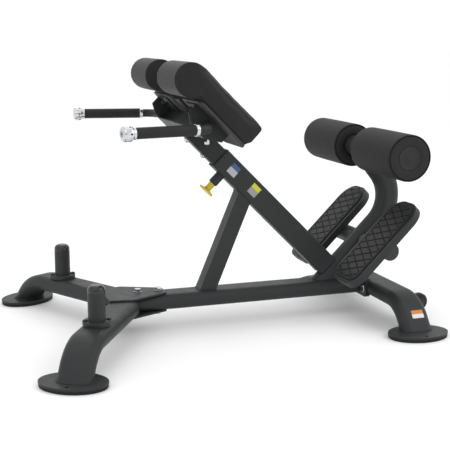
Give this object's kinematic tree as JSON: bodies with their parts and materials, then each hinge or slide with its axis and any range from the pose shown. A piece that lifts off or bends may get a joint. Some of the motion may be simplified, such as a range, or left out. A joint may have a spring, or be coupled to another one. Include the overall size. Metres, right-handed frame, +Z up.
{
  "type": "roman chair",
  "caption": "Free-standing 45 degree back extension bench with a sliding hip pad carriage, foam leg rollers, angled footplates, weight storage pegs and carrying wheels.",
  "frame": {"origin": "on the floor, under the centre of the bench's outline", "axes": "+Z up; +X from the handle end to the roller end; -Y is the left of a user, who faces -X"},
  "size_m": [1.2834, 1.0526, 0.8381],
  "materials": {
    "frame_paint": "fine-textured charcoal powder coat, satin",
    "carriage_paint": "charcoal powder coat, satin",
    "chrome": "bright chrome",
    "dark_steel": "black oxide fastener, satin",
    "zinc_steel": "zinc plated",
    "pad_vinyl": "grained black vinyl, satin",
    "roller_foam": "skinned foam, matt",
    "roller_plug": "moulded black plastic",
    "core_plastic": "moulded black plastic",
    "grip_rubber": "moulded black rubber, fine ribs",
    "tread_rubber": "moulded diamond tread",
    "foot_rubber": "moulded black rubber, ribbed edge",
    "cap_plastic": "glossy black plastic",
    "bush_plastic": "black nylon",
    "knob_plastic": "yellow moulded plastic",
    "board": "painted plywood, grey",
    "wheel_plastic": "hard black rubber"
  },
  "bodies": {
    "frame": {"main_beam": "frame_paint", "front_leg_left": "frame_paint", "front_leg_right": "frame_paint", "rear_leg_left": "frame_paint", "rear_leg_right": "frame_paint", "foot_plates_front": "frame_paint", "foot_plates_rear": "frame_paint", "foot_pads": "foot_rubber", "hub_plate_top": "frame_paint", "hub_plate_bottom": "frame_paint", "hub_bolts": "chrome", "beam_flange": "frame_paint", "cross_flange": "frame_paint", "flange_bolts": "chrome", "weight_peg_left": "frame_paint", "weight_peg_right": "frame_paint", "peg_caps": "cap_plastic", "peg_bolts": "dark_steel", "upright_tube": "frame_paint", "upright_sleeve": "bush_plastic", "strut": "frame_paint", "post": "frame_paint", "footrest_tube": "frame_paint", "footrest_tube_caps": "cap_plastic", "footplate_left": "frame_paint", "footplate_right": "frame_paint", "footplate_mat_left": "tread_rubber", "footplate_mat_right": "tread_rubber", "tread_screws": "dark_steel", "roller_axle": "zinc_steel", "roller_head_tube": "frame_paint", "roller_retainers": "zinc_steel", "pin_housing": "frame_paint", "pin_spring": "zinc_steel", "wheel_brackets": "frame_paint", "wheel_axles": "dark_steel"},
    "carriage": {"inner_tube": "carriage_paint", "carriage_bolts": "chrome", "pad_bracket": "carriage_paint", "pad_cross_bars": "carriage_paint", "pad_bolts": "chrome", "pad_boards": "board", "hip_pad_left": "pad_vinyl", "hip_pad_right": "pad_vinyl", "handle_tube_left": "carriage_paint", "handle_tube_right": "carriage_paint", "grip_left": "grip_rubber", "grip_right": "grip_rubber", "handle_collars": "chrome", "handle_end_caps": "chrome"},
    "pull_pin": {"pull_pin": "zinc_steel", "pull_knob": "knob_plastic"},
    "roller_left": {"roller_core_left": "core_plastic", "roller_foam_left": "roller_foam", "roller_cap_left": "roller_plug"},
    "roller_right": {"roller_core_right": "core_plastic", "roller_foam_right": "roller_foam", "roller_cap_right": "roller_plug"},
    "wheel_left": {"transport_wheel_left": "wheel_plastic"},
    "wheel_right": {"transport_wheel_right": "wheel_plastic"}
  },
  "joints": [
    {"name": "carriage_slide", "type": "slide", "parent": "frame", "child": "carriage", "axis": [-0.7071, 0, 0.7071], "range_m": [0, 0.15]},
    {"name": "pin_pull", "type": "slide", "parent": "frame", "child": "pull_pin", "axis": [-0.7071, 0, -0.7071], "range_m": [0, 0.012], "stiffness_N_per_m": 800, "springref_m": -0.01, "deforming": ["pin_spring"]},
    {"name": "roller_left_spin", "type": "hinge", "parent": "frame", "child": "roller_left", "pos_m": [0.49572, -0.19, 0.54631], "axis": [0, 1, 0], "continuous": true},
    {"name": "roller_right_spin", "type": "hinge", "parent": "frame", "child": "roller_right", "pos_m": [0.49572, 0.19, 0.54631], "axis": [0, 1, 0], "continuous": true},
    {"name": "wheel_left_spin", "type": "hinge", "parent": "frame", "child": "wheel_left", "pos_m": [0.6137, -0.196, 0.064], "axis": [0, 1, 0], "continuous": true},
    {"name": "wheel_right_spin", "type": "hinge", "parent": "frame", "child": "wheel_right", "pos_m": [0.6137, 0.196, 0.064], "axis": [0, 1, 0], "continuous": true}
  ]
}
